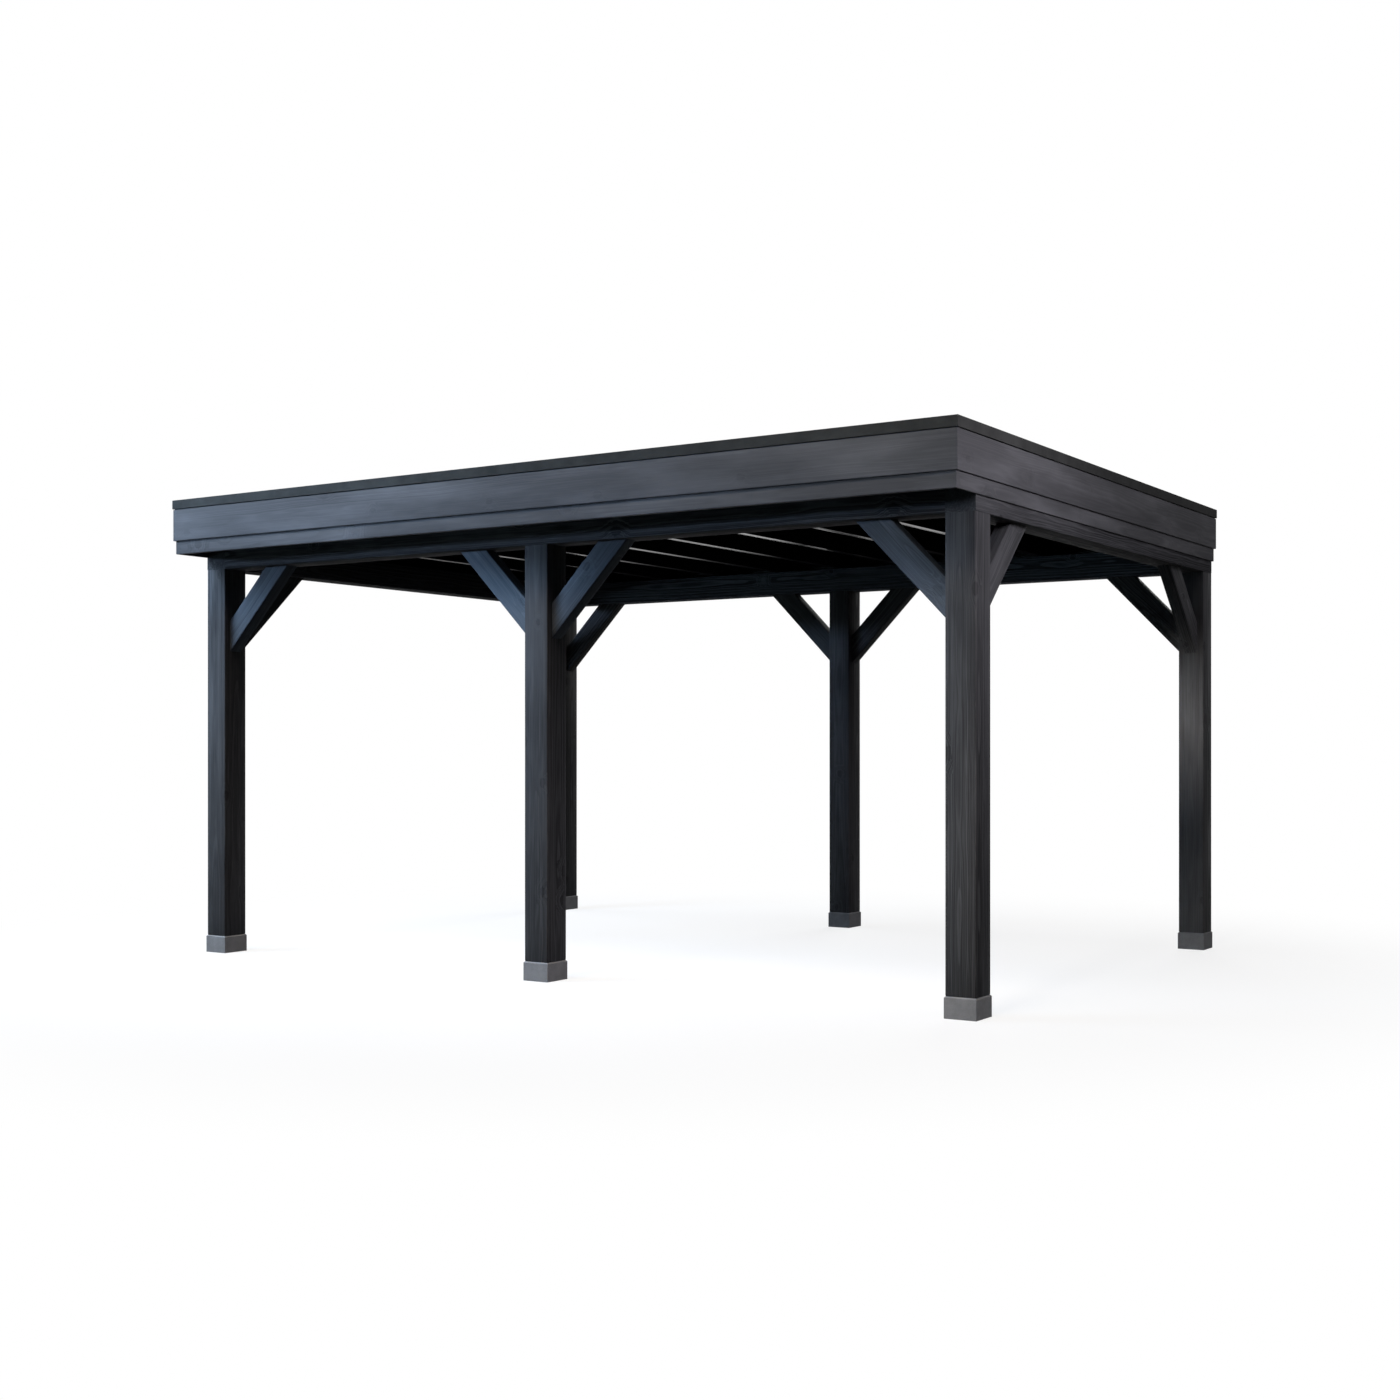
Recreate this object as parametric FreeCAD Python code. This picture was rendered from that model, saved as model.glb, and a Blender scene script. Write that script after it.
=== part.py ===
import FreeCAD, Part
import os

# Free-standing timber patio canopy with a flat roof: six posts on low concrete
# feet, a ring of beams, angle braces, rafters, a boarded and felted roof, and a
# stepped, mitred fascia under a folded edge trim.
# The long side runs along X, the front faces -Y, and +Z is up. The origin is on
# the ground, under the middle of the roof.

# Posts and feet, in millimetres
post_width = 150.0
post_arris = 4.0
bay_count = 2
bay_pitch = 2400.0
row_pitch = 3050.0
foot_margin = 4.0
foot_height = 98.0
foot_chamfer = 6.0

# Beams
clear_height = 2220.0
beam_height = 150.0
beam_arris = 4.0

# Angle braces at 45 degrees, in the middle of the width of posts and beams
brace_width = 128.0
brace_thickness = 75.0
brace_inner_leg = 294.0
brace_arris = 4.0

# Roof frame and deck
rafter_width = 45.0
rafter_height = 140.0
rafters_per_bay = 5
front_overhang = 200.0
deck_thickness = 19.0
felt_thickness = 4.0

# Stepped fascia: a rebated upper board laps over a thinner lower board
upper_board_thickness = 21.0
upper_board_upstand = 69.0
lower_board_thickness = 10.0
front_lower_board_thickness = 21.0
fascia_step_drop = 2.0
lower_board_reveal = 75.0
fascia_lap = 25.0
lap_clearance = 1.0
board_arris = 2.0
drip_groove_height = 4.0
drip_groove_depth = 6.0

# Folded trim that caps the upper boards and the felt's upstand; a hem along the
# lower edge of its face rests on the boards, just above their drip groove
trim_thickness = 2.0
trim_face_height = 50.0
trim_hem_height = 8.0
trim_inner_leg = 20.0
trim_fold = 0.8

# Two places or directions closer than this are the same
tolerance = 1e-6

# Places worked out from the sizes above
frame_half_length = bay_count * bay_pitch / 2 + post_width / 2
roof_half_length = frame_half_length + upper_board_thickness
roof_depth = front_overhang + post_width + row_pitch + 2 * upper_board_thickness
roof_front = -roof_depth / 2
roof_back = roof_depth / 2
rafter_front = roof_front + upper_board_thickness
frame_front = rafter_front + front_overhang
frame_back = roof_back - upper_board_thickness
beam_top = clear_height + beam_height
rafter_top = beam_top + rafter_height
deck_top = rafter_top + deck_thickness
board_top = deck_top + upper_board_upstand
trim_top = board_top + trim_thickness
trim_bottom = trim_top - trim_face_height
fascia_step = beam_top - fascia_step_drop
lower_board_bottom = fascia_step - lower_board_reveal
post_columns = [bay_pitch * (i - bay_count / 2) for i in range(bay_count + 1)]
post_rows = {"front": frame_front + post_width / 2, "back": frame_back - post_width / 2}


def box(low, high):
    """A plain block between two opposite corners."""
    size = [high[i] - low[i] for i in range(3)]
    return Part.makeBox(size[0], size[1], size[2], FreeCAD.Vector(*low))


def edges_along(shape, direction):
    """The straight edges of a shape that run parallel to a direction."""
    wanted = FreeCAD.Vector(*direction).normalize()
    found = []
    for edge in shape.Edges:
        run = edge.Vertexes[-1].Point.sub(edge.Vertexes[0].Point).normalize()
        if abs(abs(run.dot(wanted)) - 1) < tolerance:
            found.append(edge)
    return found


def prism(points, thickness_vector):
    """A solid pushed out of a flat outline."""
    corners = [FreeCAD.Vector(*point) for point in points]
    outline = Part.makePolygon(corners + corners[:1])
    return Part.Face(outline).extrude(FreeCAD.Vector(*thickness_vector))


def foot(x, y):
    """A concrete block, a little wider than its post, with a chamfered top edge."""
    reach = post_width / 2 + foot_margin
    block = box((x - reach, y - reach, 0), (x + reach, y + reach, foot_height))
    rim = [edge for edge in block.Edges if min(v.Z for v in edge.Vertexes) > foot_height - tolerance]
    return block.makeChamfer(foot_chamfer, rim)


def post(x, y):
    """A square post from its foot to the beams, with its arrises and its bottom end eased."""
    reach = post_width / 2
    shaft = box((x - reach, y - reach, foot_height), (x + reach, y + reach, clear_height))
    rim = [edge for edge in shaft.Edges if max(v.Z for v in edge.Vertexes) < foot_height + tolerance]
    return shaft.makeChamfer(post_arris, edges_along(shaft, (0, 0, 1)) + rim)


def beam(low_x, high_x, low_y, high_y, run):
    """A beam on the post heads, with its four long arrises eased."""
    bar = box((low_x, low_y, clear_height), (high_x, high_y, beam_top))
    return bar.makeChamfer(beam_arris, edges_along(bar, run))


def make_beams():
    """Side beams over the corner posts; the long beams butt between their inner faces."""
    inner = frame_half_length - post_width
    outer = frame_half_length
    front, back = frame_front, frame_back
    return {
        "left_beam": beam(-outer, -inner, front, back, (0, 1, 0)),
        "right_beam": beam(inner, outer, front, back, (0, 1, 0)),
        "front_beam": beam(-inner, inner, front, front + post_width, (1, 0, 0)),
        "back_beam": beam(-inner, inner, back - post_width, back, (1, 0, 0)),
    }


def brace(corner, along, across):
    """A brace cut upright on its post and level under its beam.

    corner is where the middle of the post's side meets the beam's underside, along
    points from the post to the middle of the bay, and across is level and square
    to along.
    """
    outer_leg = brace_inner_leg + brace_width * 2 ** 0.5
    out = FreeCAD.Vector(*along)
    side = FreeCAD.Vector(*across)
    down = FreeCAD.Vector(0, 0, -1)
    origin = FreeCAD.Vector(*corner) - side * (brace_thickness / 2)
    points = [
        origin + down * brace_inner_leg,
        origin + down * outer_leg,
        origin + out * outer_leg,
        origin + out * brace_inner_leg,
    ]
    bar = prism(points, side * brace_thickness)
    return bar.makeChamfer(brace_arris, edges_along(bar, out - down))


def make_braces():
    """Two braces to each bay of the rows, and two to each side."""
    braces = {}
    half = post_width / 2
    for row, y in post_rows.items():
        number = 0
        for column in range(bay_count):
            left = post_columns[column] + half
            right = post_columns[column + 1] - half
            for x, step in ((left, 1), (right, -1)):
                number += 1
                corner = (x, y, clear_height)
                braces[f"{row}_brace_{number}"] = brace(corner, (step, 0, 0), (0, 1, 0))
    for side, x in (("left", post_columns[0]), ("right", post_columns[-1])):
        for row, step in (("front", 1), ("back", -1)):
            corner = (x, post_rows[row] + step * half, clear_height)
            braces[f"{side}_brace_{row}"] = brace(corner, (0, step, 0), (1, 0, 0))
    return braces


def make_rafters():
    """Rafters across the beams, the outermost two flush with the side beams' outer faces."""
    pitch = bay_pitch / rafters_per_bay
    inner_count = bay_count * rafters_per_bay - 1
    edge = frame_half_length - rafter_width / 2
    centres = [pitch * (i - (inner_count - 1) / 2) for i in range(inner_count)]
    half = rafter_width / 2
    bars = []
    for x in [-edge] + centres + [edge]:
        bars.append(box((x - half, rafter_front, beam_top), (x + half, frame_back, rafter_top)))
    return Part.makeCompound(bars)


def make_deck():
    """The roof boarding, as one sheet between the upper boards."""
    low = (-frame_half_length, rafter_front, rafter_top)
    return box(low, (frame_half_length, frame_back, deck_top))


def make_felt():
    """The roof felt: flat on the deck and turned up against the upper boards all round."""
    half = frame_half_length
    inner = half - felt_thickness
    tray = box((-half, rafter_front, deck_top), (half, frame_back, board_top))
    hollow_low = (-inner, rafter_front + felt_thickness, deck_top + felt_thickness)
    hollow = box(hollow_low, (inner, frame_back - felt_thickness, board_top + felt_thickness))
    return tray.cut(hollow)


def mitred_side(profile, side):
    """One side of a frame round the roof, with the profile run between two mitres.

    The profile's points are (inset from the upper boards' outer faces, height).
    """
    ends = {"start": [], "finish": []}
    for inset, height in profile:
        x = roof_half_length - inset
        front, back = roof_front + inset, roof_back - inset
        corners = {
            "front": ((-x, front), (x, front)),
            "right": ((x, front), (x, back)),
            "back": ((x, back), (-x, back)),
            "left": ((-x, back), (-x, front)),
        }[side]
        ends["start"].append(FreeCAD.Vector(*corners[0], height))
        ends["finish"].append(FreeCAD.Vector(*corners[1], height))
    wires = [Part.makePolygon(points + points[:1]) for points in ends.values()]
    return Part.makeLoft(wires, True, True)


def upper_board_profile():
    """The upper board, rebated behind its lower edge for the lower board.

    The rebate's lip is eased on both sides, and a drip groove runs under the trim.
    """
    rebate = upper_board_thickness - lower_board_thickness
    groove_bottom = trim_bottom - drip_groove_height
    return [
        (0, fascia_step + board_arris),
        (board_arris, fascia_step),
        (rebate - board_arris, fascia_step),
        (rebate, fascia_step + board_arris),
        (rebate, fascia_step + fascia_lap + lap_clearance),
        (upper_board_thickness, fascia_step + fascia_lap + lap_clearance),
        (upper_board_thickness, board_top),
        (0, board_top),
        (0, trim_bottom),
        (drip_groove_depth, trim_bottom),
        (drip_groove_depth, groove_bottom),
        (0, groove_bottom),
    ]


def lower_board_profile(thickness):
    """The lower board. A board thicker than the rebate has a shoulder under the rafters."""
    face = upper_board_thickness - lower_board_thickness
    back = face + thickness
    top = fascia_step + fascia_lap
    points = [
        (face, lower_board_bottom + board_arris),
        (face + board_arris, lower_board_bottom),
        (back, lower_board_bottom),
    ]
    if back > upper_board_thickness:
        points += [(back, beam_top), (upper_board_thickness, beam_top)]
    return points + [(upper_board_thickness, top), (face, top)]


def trim_profile():
    """The edge trim: a hemmed face, a flat top and a short leg inside the felt."""
    outer = -2 * trim_thickness
    inner = upper_board_thickness + felt_thickness
    leg_bottom = board_top - trim_inner_leg
    hem_top = trim_bottom + trim_hem_height
    return [
        (outer, trim_bottom + trim_fold),
        (outer + trim_fold, trim_bottom),
        (0, trim_bottom),
        (0, hem_top),
        (-trim_thickness, hem_top),
        (-trim_thickness, board_top),
        (inner, board_top),
        (inner, leg_bottom),
        (inner + trim_thickness, leg_bottom),
        (inner + trim_thickness, trim_top),
        (outer + trim_fold, trim_top),
        (outer, trim_top - trim_fold),
    ]


def make_roof_edge():
    """Upper boards, lower boards and trim on the four sides, mitred at the corners."""
    pieces = {}
    for side in ("front", "right", "back", "left"):
        thickness = front_lower_board_thickness if side == "front" else lower_board_thickness
        pieces[f"{side}_upper_fascia"] = mitred_side(upper_board_profile(), side)
        pieces[f"{side}_lower_fascia"] = mitred_side(lower_board_profile(thickness), side)
        pieces[f"{side}_edge_trim"] = mitred_side(trim_profile(), side)
    return pieces


def make_canopy():
    """Every piece of the canopy, by the name of its node."""
    pieces = {}
    for row, y in post_rows.items():
        for number, x in enumerate(post_columns, 1):
            pieces[f"{row}_foot_{number}"] = foot(x, y)
            pieces[f"{row}_post_{number}"] = post(x, y)
    pieces.update(make_beams())
    pieces.update(make_braces())
    pieces["rafters"] = make_rafters()
    pieces["roof_deck"] = make_deck()
    pieces["roof_felt"] = make_felt()
    pieces.update(make_roof_edge())
    return pieces


os.makedirs("parts", exist_ok=True)
for name, shape in make_canopy().items():
    shape.exportStep(f"parts/{name}.step")
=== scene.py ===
import math
import random

import bmesh
import bpy
from bpy.props import FloatProperty, FloatVectorProperty, PointerProperty
from bpy.types import Operator, Panel, PropertyGroup
from mathutils import Matrix, Vector, noise


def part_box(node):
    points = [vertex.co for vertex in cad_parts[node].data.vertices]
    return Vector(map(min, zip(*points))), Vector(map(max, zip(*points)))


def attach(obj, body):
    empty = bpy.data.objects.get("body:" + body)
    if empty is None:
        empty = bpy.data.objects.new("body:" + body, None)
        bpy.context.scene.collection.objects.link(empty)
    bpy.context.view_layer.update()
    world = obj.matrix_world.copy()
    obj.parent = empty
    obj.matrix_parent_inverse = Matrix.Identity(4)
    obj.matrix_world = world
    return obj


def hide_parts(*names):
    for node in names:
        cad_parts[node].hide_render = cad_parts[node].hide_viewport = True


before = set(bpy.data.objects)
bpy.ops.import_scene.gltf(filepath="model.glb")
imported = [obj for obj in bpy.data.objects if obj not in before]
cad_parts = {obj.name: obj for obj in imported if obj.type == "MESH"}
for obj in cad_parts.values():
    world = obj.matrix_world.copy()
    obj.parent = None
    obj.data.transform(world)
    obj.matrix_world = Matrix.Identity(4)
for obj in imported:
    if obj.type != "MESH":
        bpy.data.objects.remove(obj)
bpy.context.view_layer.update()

bl_info = {
    "name": "Timber patio canopy",
    "version": (1, 0, 0),
    "blender": (4, 5, 0),
    "location": "3D View > Sidebar > Canopy",
    "description": "Finishes the pieces of a flat-roofed timber patio canopy and sets up its studio",
    "category": "Object",
}

X, Y, Z = Vector((1, 0, 0)), Vector((0, 1, 0)), Vector((0, 0, 1))
POSTS = [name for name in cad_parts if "_post_" in name]
FEET = [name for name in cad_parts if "_foot_" in name]
BEAMS = [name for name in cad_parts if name.endswith("_beam")]
BRACES = [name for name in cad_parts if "_brace_" in name]
# Braces given a still paler, bluer copy of the front brace stain: painted light
BRIGHTER_LIT_BRACES = ("front_brace_2",)
SIDES = ("front", "right", "back", "left")

# In metres, except for the last
SAME_PLACE = 1e-4  # corners closer than this count as one
BOARD_GAP = 0.0004  # half of the open joint between two roof boards
BOARD_JOINTS = (-0.96, -0.48, 0.0, 0.48, 0.96)  # rafters over which two boards may meet
FELT_LAP = 0.1  # how far one strip of felt lies over the next
FELT_STEP = 0.0025  # rise of the felt at a lap
FELT_EDGE = 0.001  # slope of a strip's free edge
FELT_DIP = 0.01  # slope where a strip runs off the one below
END_SHIFT = 40.0  # keeps the knots on a bar's ends apart from those on its sides
KNOT_FREE = 0.35  # share of the net's cells without a knot


def node_box(name):
    """The lowest and highest corner of a node, as vectors."""
    low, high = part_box(name)
    return Vector(low), Vector(high)


class TimberSettings(PropertyGroup):
    """Sizes and colours of the stained timber."""

    frame_colour: FloatVectorProperty(
        name="Frame stain", description="Stain on the posts, beams and other braces",
        subtype="COLOR", size=3, min=0, max=1, default=(0.050, 0.050, 0.051))
    # Painted light: a paler, bluer copy of the frame stain for the back beam
    back_beam_painted_light_colour: FloatVectorProperty(
        name="Back beam painted light", description="Frame stain made paler and bluer on the back beam, as painted light",
        subtype="COLOR", size=3, min=0, max=1, default=(0.080, 0.087, 0.100))
    # Painted light: a paler, bluer copy of the frame stain for the front row's braces
    front_brace_painted_light_colour: FloatVectorProperty(
        name="Front brace painted light", description="Frame stain made paler and bluer on the front row's braces, as painted light",
        subtype="COLOR", size=3, min=0, max=1, default=(0.062, 0.071, 0.082))
    # Painted light: a still paler, bluer copy of the stain for one front brace
    brighter_lit_brace_colour: FloatVectorProperty(
        name="Brighter lit brace", description="Stain on the front braces that took it less",
        subtype="COLOR", size=3, min=0, max=1, default=(0.092, 0.108, 0.126))
    fascia_colour: FloatVectorProperty(
        name="Fascia stain", description="Stain on the fascia boards",
        subtype="COLOR", size=3, min=0, max=1, default=(0.072, 0.072, 0.074))
    roof_colour: FloatVectorProperty(
        name="Roof stain", description="Stain on the rafters and the roof boards",
        subtype="COLOR", size=3, min=0, max=1, default=(0.010, 0.010, 0.011))
    arris_radius: FloatProperty(
        name="Arris radius", description="Rounding of the long edges of posts, beams and braces",
        unit="LENGTH", min=0.001, max=0.02, default=0.0045)
    board_arris_radius: FloatProperty(
        name="Board arris radius", description="Rounding of the long edges of boards and rafters",
        unit="LENGTH", min=0.0005, max=0.0018, default=0.0016)
    ring_gap: FloatProperty(
        name="Ring gap", description="Distance between two growth rings",
        unit="LENGTH", min=0.001, max=0.01, default=0.0056)
    knot_gap: FloatProperty(
        name="Knot gap", description="Usual distance between knots along the grain",
        unit="LENGTH", min=0.1, max=3, default=0.62)


class RoofSettings(PropertyGroup):
    """Sizes and colours of the roof boards, the felt and the edge trim."""

    board_width: FloatProperty(
        name="Board width", description="Cover width of a roof board",
        unit="LENGTH", min=0.05, max=0.3, default=0.145)
    board_groove: FloatProperty(
        name="Board groove", description="Width of the chamfer on a roof board's lower edges",
        unit="LENGTH", min=0.001, max=0.01, default=0.004)
    felt_colour: FloatVectorProperty(
        name="Felt colour", description="Colour of the mineral felt",
        subtype="COLOR", size=3, min=0, max=1, default=(0.035, 0.036, 0.038))
    felt_thickness: FloatProperty(
        name="Felt thickness", description="Thickness of the felt",
        unit="LENGTH", min=0.002, max=0.008, default=0.004)
    felt_strip: FloatProperty(
        name="Felt strip", description="Width between the laps of the felt",
        unit="LENGTH", min=0.3, max=1.5, default=0.9)
    trim_colour: FloatVectorProperty(
        name="Trim colour", description="Coating on the edge trim",
        subtype="COLOR", size=3, min=0, max=1, default=(0.0405, 0.0412, 0.0385))


class FootSettings(PropertyGroup):
    """Finish of the concrete feet."""

    concrete_colour: FloatVectorProperty(
        name="Concrete", description="Colour of the concrete feet",
        subtype="COLOR", size=3, min=0, max=1, default=(0.25, 0.247, 0.245))
    # Painted shade: a darker copy of the concrete for the back row's feet under the roof
    painted_shade_concrete_colour: FloatVectorProperty(
        name="Painted shade concrete", description="Colour of the back row's feet, darker as painted shade under the roof",
        subtype="COLOR", size=3, min=0, max=1, default=(0.150, 0.152, 0.155))


class StudioSettings(PropertyGroup):
    """Camera and light."""

    camera_place: FloatVectorProperty(
        name="Camera", description="Where the camera stands",
        subtype="XYZ", unit="LENGTH", size=3, default=(5.7525, -8.2727, 1.1962))
    camera_turn: FloatProperty(
        name="Turn", description="Turn of the camera to the left of straight on",
        subtype="ANGLE", default=0.54)
    lens: FloatProperty(
        name="Lens", description="Focal length for a 36 mm sensor",
        unit="CAMERA", min=10, max=200, default=44.338)
    lens_shift: FloatVectorProperty(
        name="Lens shift", description="Sideways and upward shift of the lens, in sensor widths",
        size=2, min=-1, max=1, default=(-0.08674, 0.03296))
    sky_strength: FloatProperty(
        name="Sky", description="Strength of the even light from all round",
        min=0, max=2, default=0.03)
    left_power: FloatProperty(
        name="Left light", description="Power shared by the two cool soft boxes over the front left",
        unit="POWER", min=0, max=5000, default=167)
    left_band_power: FloatProperty(
        name="Left band", description="Power shared by the two long cool lamps far to the left",
        unit="POWER", min=0, max=5000, default=38)
    front_power: FloatProperty(
        name="Front light", description="Power shared by the lamps in front of the canopy",
        unit="POWER", min=0, max=5000, default=61)
    right_power: FloatProperty(
        name="Right light", description="Power shared by the lamps on the right side",
        unit="POWER", min=0, max=5000, default=34)
    right_back_power: FloatProperty(
        name="Right back light", description="Power of the narrow lamp on the back right post",
        unit="POWER", min=0, max=5000, default=1.3)
    side_power: FloatProperty(
        name="Left side light", description="Power of the soft box on the left side",
        unit="POWER", min=0, max=5000, default=420)
    back_power: FloatProperty(
        name="Back light", description="Power of the soft box behind the canopy",
        unit="POWER", min=0, max=5000, default=600)
    top_power: FloatProperty(
        name="Overhead light", description="Power of the soft box above",
        unit="POWER", min=0, max=5000, default=170)


class Nodes:
    """Adds and links the nodes of one material or world."""

    def __init__(self, owner, shader="Principled BSDF"):
        owner.use_nodes = True
        self.owner = owner
        self.tree = owner.node_tree
        self.shader = self.tree.nodes[shader]

    def add(self, kind, inputs=(), **settings):
        """A node with its settings; inputs maps socket names or numbers to values or outputs."""
        node = self.tree.nodes.new("ShaderNode" + kind)
        for key, value in settings.items():
            setattr(node, key, value)
        for key, value in dict(inputs).items():
            self.feed(node.inputs[key], value)
        return node

    def feed(self, socket, value):
        """A socket takes a plain value or another node's output."""
        if isinstance(value, bpy.types.NodeSocket):
            self.tree.links.new(value, socket)
        else:
            socket.default_value = value

    def math(self, operation, *values, clamp=False):
        """A calculation with plain values or outputs."""
        node = self.add("Math", dict(enumerate(values)), operation=operation, use_clamp=clamp)
        return node.outputs[0]

    def total(self, *values):
        """All the values added up."""
        result = values[0]
        for value in values[1:]:
            result = self.math("ADD", result, value)
        return result

    def vector(self, operation, *values):
        """A calculation with vectors that gives a vector."""
        return self.add("VectorMath", dict(enumerate(values)), operation=operation).outputs[0]

    def length(self, vector):
        """The length of a vector."""
        return self.add("VectorMath", {0: vector}, operation="LENGTH").outputs["Value"]

    def range(self, value, low, high, to_low=0.0, to_high=1.0, smooth=False):
        """value, spread from low..high to to_low..to_high."""
        names = ("Value", "From Min", "From Max", "To Min", "To Max")
        kind = "SMOOTHSTEP" if smooth else "LINEAR"
        inputs = zip(names, (value, low, high, to_low, to_high))
        return self.add("MapRange", inputs, interpolation_type=kind).outputs[0]

    def noise(self, place, scale, detail=2.0, roughness=0.5):
        """Soft noise with so many cells to the metre."""
        inputs = {"Vector": place, "Scale": scale, "Detail": detail, "Roughness": roughness}
        return self.add("TexNoise", inputs).outputs["Fac"]

    def grain_noise(self, grain, across, along, detail=2.0, roughness=0.5):
        """Noise drawn out along the grain, with so many cells to the metre each way."""
        place = self.vector("MULTIPLY", grain, (across, across, along))
        return self.noise(place, 1.0, detail, roughness)

    def colours(self, factor, first, second):
        """A mix of two colours."""
        node = self.add("Mix", data_type="RGBA")
        for socket, value in zip((node.inputs[0], node.inputs[6], node.inputs[7]), (factor, first, second)):
            self.feed(socket, value)
        return node.outputs[2]

    def bump(self, height, distance, strength=1.0, below=None):
        """A bump of that height in metres, on top of another one."""
        inputs = {"Height": height, "Distance": distance, "Strength": strength}
        if below is not None:
            inputs["Normal"] = below
        return self.add("Bump", inputs).outputs[0]

    def seen(self):
        """1 for a ray from the camera, in a reflection or through glass, and 0 for lamp light."""
        path = self.add("LightPath").outputs
        direct = self.math("MAXIMUM", path["Is Camera Ray"], path["Is Glossy Ray"])
        return self.math("MAXIMUM", direct, path["Is Transmission Ray"])


def opaque(colour, level=1.0):
    """A colour with full alpha, made lighter or darker by a level."""
    return (*[channel * level for channel in colour], 1.0)


def knot_masks(n, face, knot_gap):
    """Knots in some cells of a loose net: the knot, its dark rim and the grain's swirl about it."""
    net = (7.0, 1 / knot_gap, 1.0)
    cells = n.add("TexVoronoi", {"Vector": n.vector("MULTIPLY", face, net), "Scale": 1.0},
                  voronoi_dimensions="2D")
    centre = n.vector("DIVIDE", cells.outputs["Position"], net)
    away = n.vector("MULTIPLY", n.vector("SUBTRACT", face, centre), (1.0, 0.72, 0.0))
    chance = n.add("SeparateColor", {0: cells.outputs["Color"]}).outputs[0]
    radius = n.range(chance, KNOT_FREE, 1.0, 0.006, 0.020)
    wobble = n.range(n.noise(face, 60.0), 0.3, 0.7, -0.25, 0.25)
    off_knot = n.math("ADD", n.math("DIVIDE", n.length(away), radius), wobble)
    off_rim = n.math("ABSOLUTE", n.math("SUBTRACT", off_knot, 1.05))
    knot = n.range(off_knot, 0.75, 1.25, 1.0, 0.0, smooth=True)
    rim = n.range(off_rim, 0.0, 0.3, 1.0, 0.0)
    swirl = n.range(off_knot, 0.6, 4.0, 1.0, 0.0, smooth=True)
    present = n.math("GREATER_THAN", chance, KNOT_FREE)
    return [n.math("MULTIPLY", mask, present) for mask in (knot, rim, swirl)]


def growth_rings(n, grain, swirl, ring_gap):
    """The rings' latewood, bent by slow noise and by knots, and bands of darker and paler years."""
    flat = n.vector("MULTIPLY", grain, (1.0, 1.0, 0.0))
    slow = n.grain_noise(grain, 4.0, 0.8, 3.0)
    radius = n.total(n.length(flat), n.math("MULTIPLY", slow, 0.05), n.math("MULTIPLY", swirl, 0.02))
    rings = n.math("DIVIDE", radius, ring_gap)
    turn = n.math("FRACT", rings)
    growing = n.range(turn, 0.25, 0.85, 0.0, 1.0, smooth=True)
    ending = n.range(turn, 0.88, 1.0, 1.0, 0.0, smooth=True)
    year = n.add("TexWhiteNoise", {"W": n.math("FLOOR", rings)}, noise_dimensions="1D").outputs["Value"]
    late_wood = n.math("MULTIPLY", n.math("MULTIPLY", growing, ending), n.range(year, 0.1, 0.9, 0.35, 1.3))
    inputs = {"W": n.math("MULTIPLY", radius, 62.0), "Scale": 1.0, "Detail": 3.0, "Roughness": 0.7}
    bands = n.add("TexNoise", inputs, noise_dimensions="1D").outputs["Fac"]
    return late_wood, n.range(bands, 0.34, 0.66, -1.0, 1.0)


def pale_threads(n, grain):
    """Thin broken streaks that took less stain."""
    off_thread = n.math("ABSOLUTE", n.math("SUBTRACT", n.grain_noise(grain, 48.0, 0.45, 1.0), 0.5))
    thread = n.range(off_thread, 0.0, 0.045, 1.0, 0.0, smooth=True)
    broken = n.range(n.grain_noise(grain, 14.0, 1.9, 2.0, 0.6), 0.50, 0.62, 0.0, 1.0, smooth=True)
    return n.math("MULTIPLY", thread, broken)


def planed_sheen(n, strength):
    """Sheen of the lower edges, planed smooth under the open front and less towards the back."""
    normal = n.add("SeparateXYZ", {0: n.add("NewGeometry").outputs["Normal"]}).outputs["Z"]
    depth = n.add("SeparateXYZ", {0: n.add("TexCoord").outputs["Object"]}).outputs["Y"]
    planed = n.math("POWER", n.range(depth, 0.0, 0.95, 1.0, 0.0), 4.0)
    return n.math("MULTIPLY", n.range(normal, -0.5, -0.95, 0.0, strength), planed)


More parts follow.
